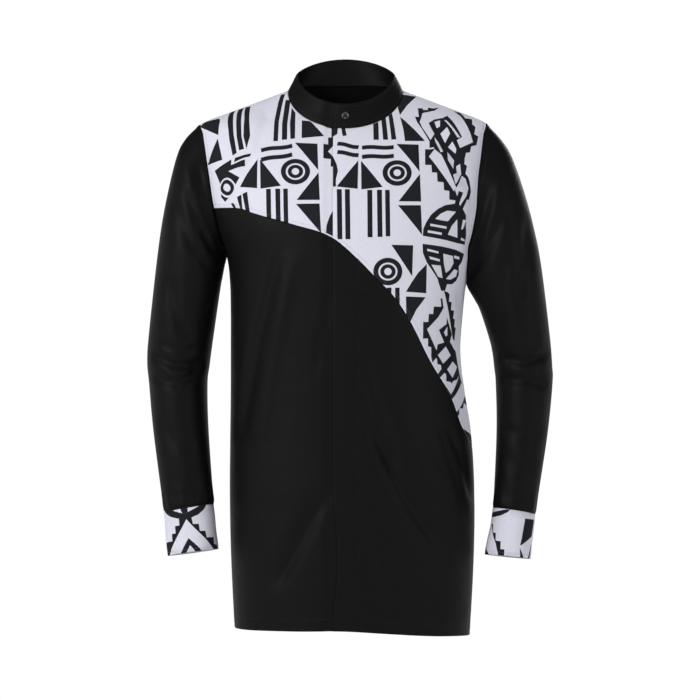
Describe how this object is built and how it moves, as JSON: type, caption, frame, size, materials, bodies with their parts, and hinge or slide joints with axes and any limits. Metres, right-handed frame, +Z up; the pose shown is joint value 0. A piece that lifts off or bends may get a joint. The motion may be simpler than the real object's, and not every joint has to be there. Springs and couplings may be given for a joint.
{
  "type": "long-sleeved tunic shirt with printed chest panels",
  "caption": "Black long-sleeved tunic shirt, worn and hollow, with a stand collar, concealed placket, diagonal black and white geometric chest panels and printed cuffs",
  "frame": {"origin": "middle of the neck opening, level with the high points of the shoulders, where a wearer's neck or a hanger carries the shirt", "axes": "the wearer faces -Y, +X is the wearer's left, +Z is up towards the head"},
  "size_m": [0.6248, 0.2585, 0.892],
  "materials": {
    "black": "plain-woven black cotton poplin, soft matt",
    "print": "white cotton poplin printed in black, soft matt",
    "button": "dark polished resin"
  },
  "bodies": {
    "root": {"front_left_print": "print", "front_left_black": "black", "front_right_print": "print", "front_right_black": "black", "back_yoke_print": "print", "back_black": "black", "collar_band": "black", "collar_button": "button", "sleeve_left": "black", "sleeve_right": "black", "cuff_left": "print", "cuff_right": "print"}
  },
  "joints": []
}
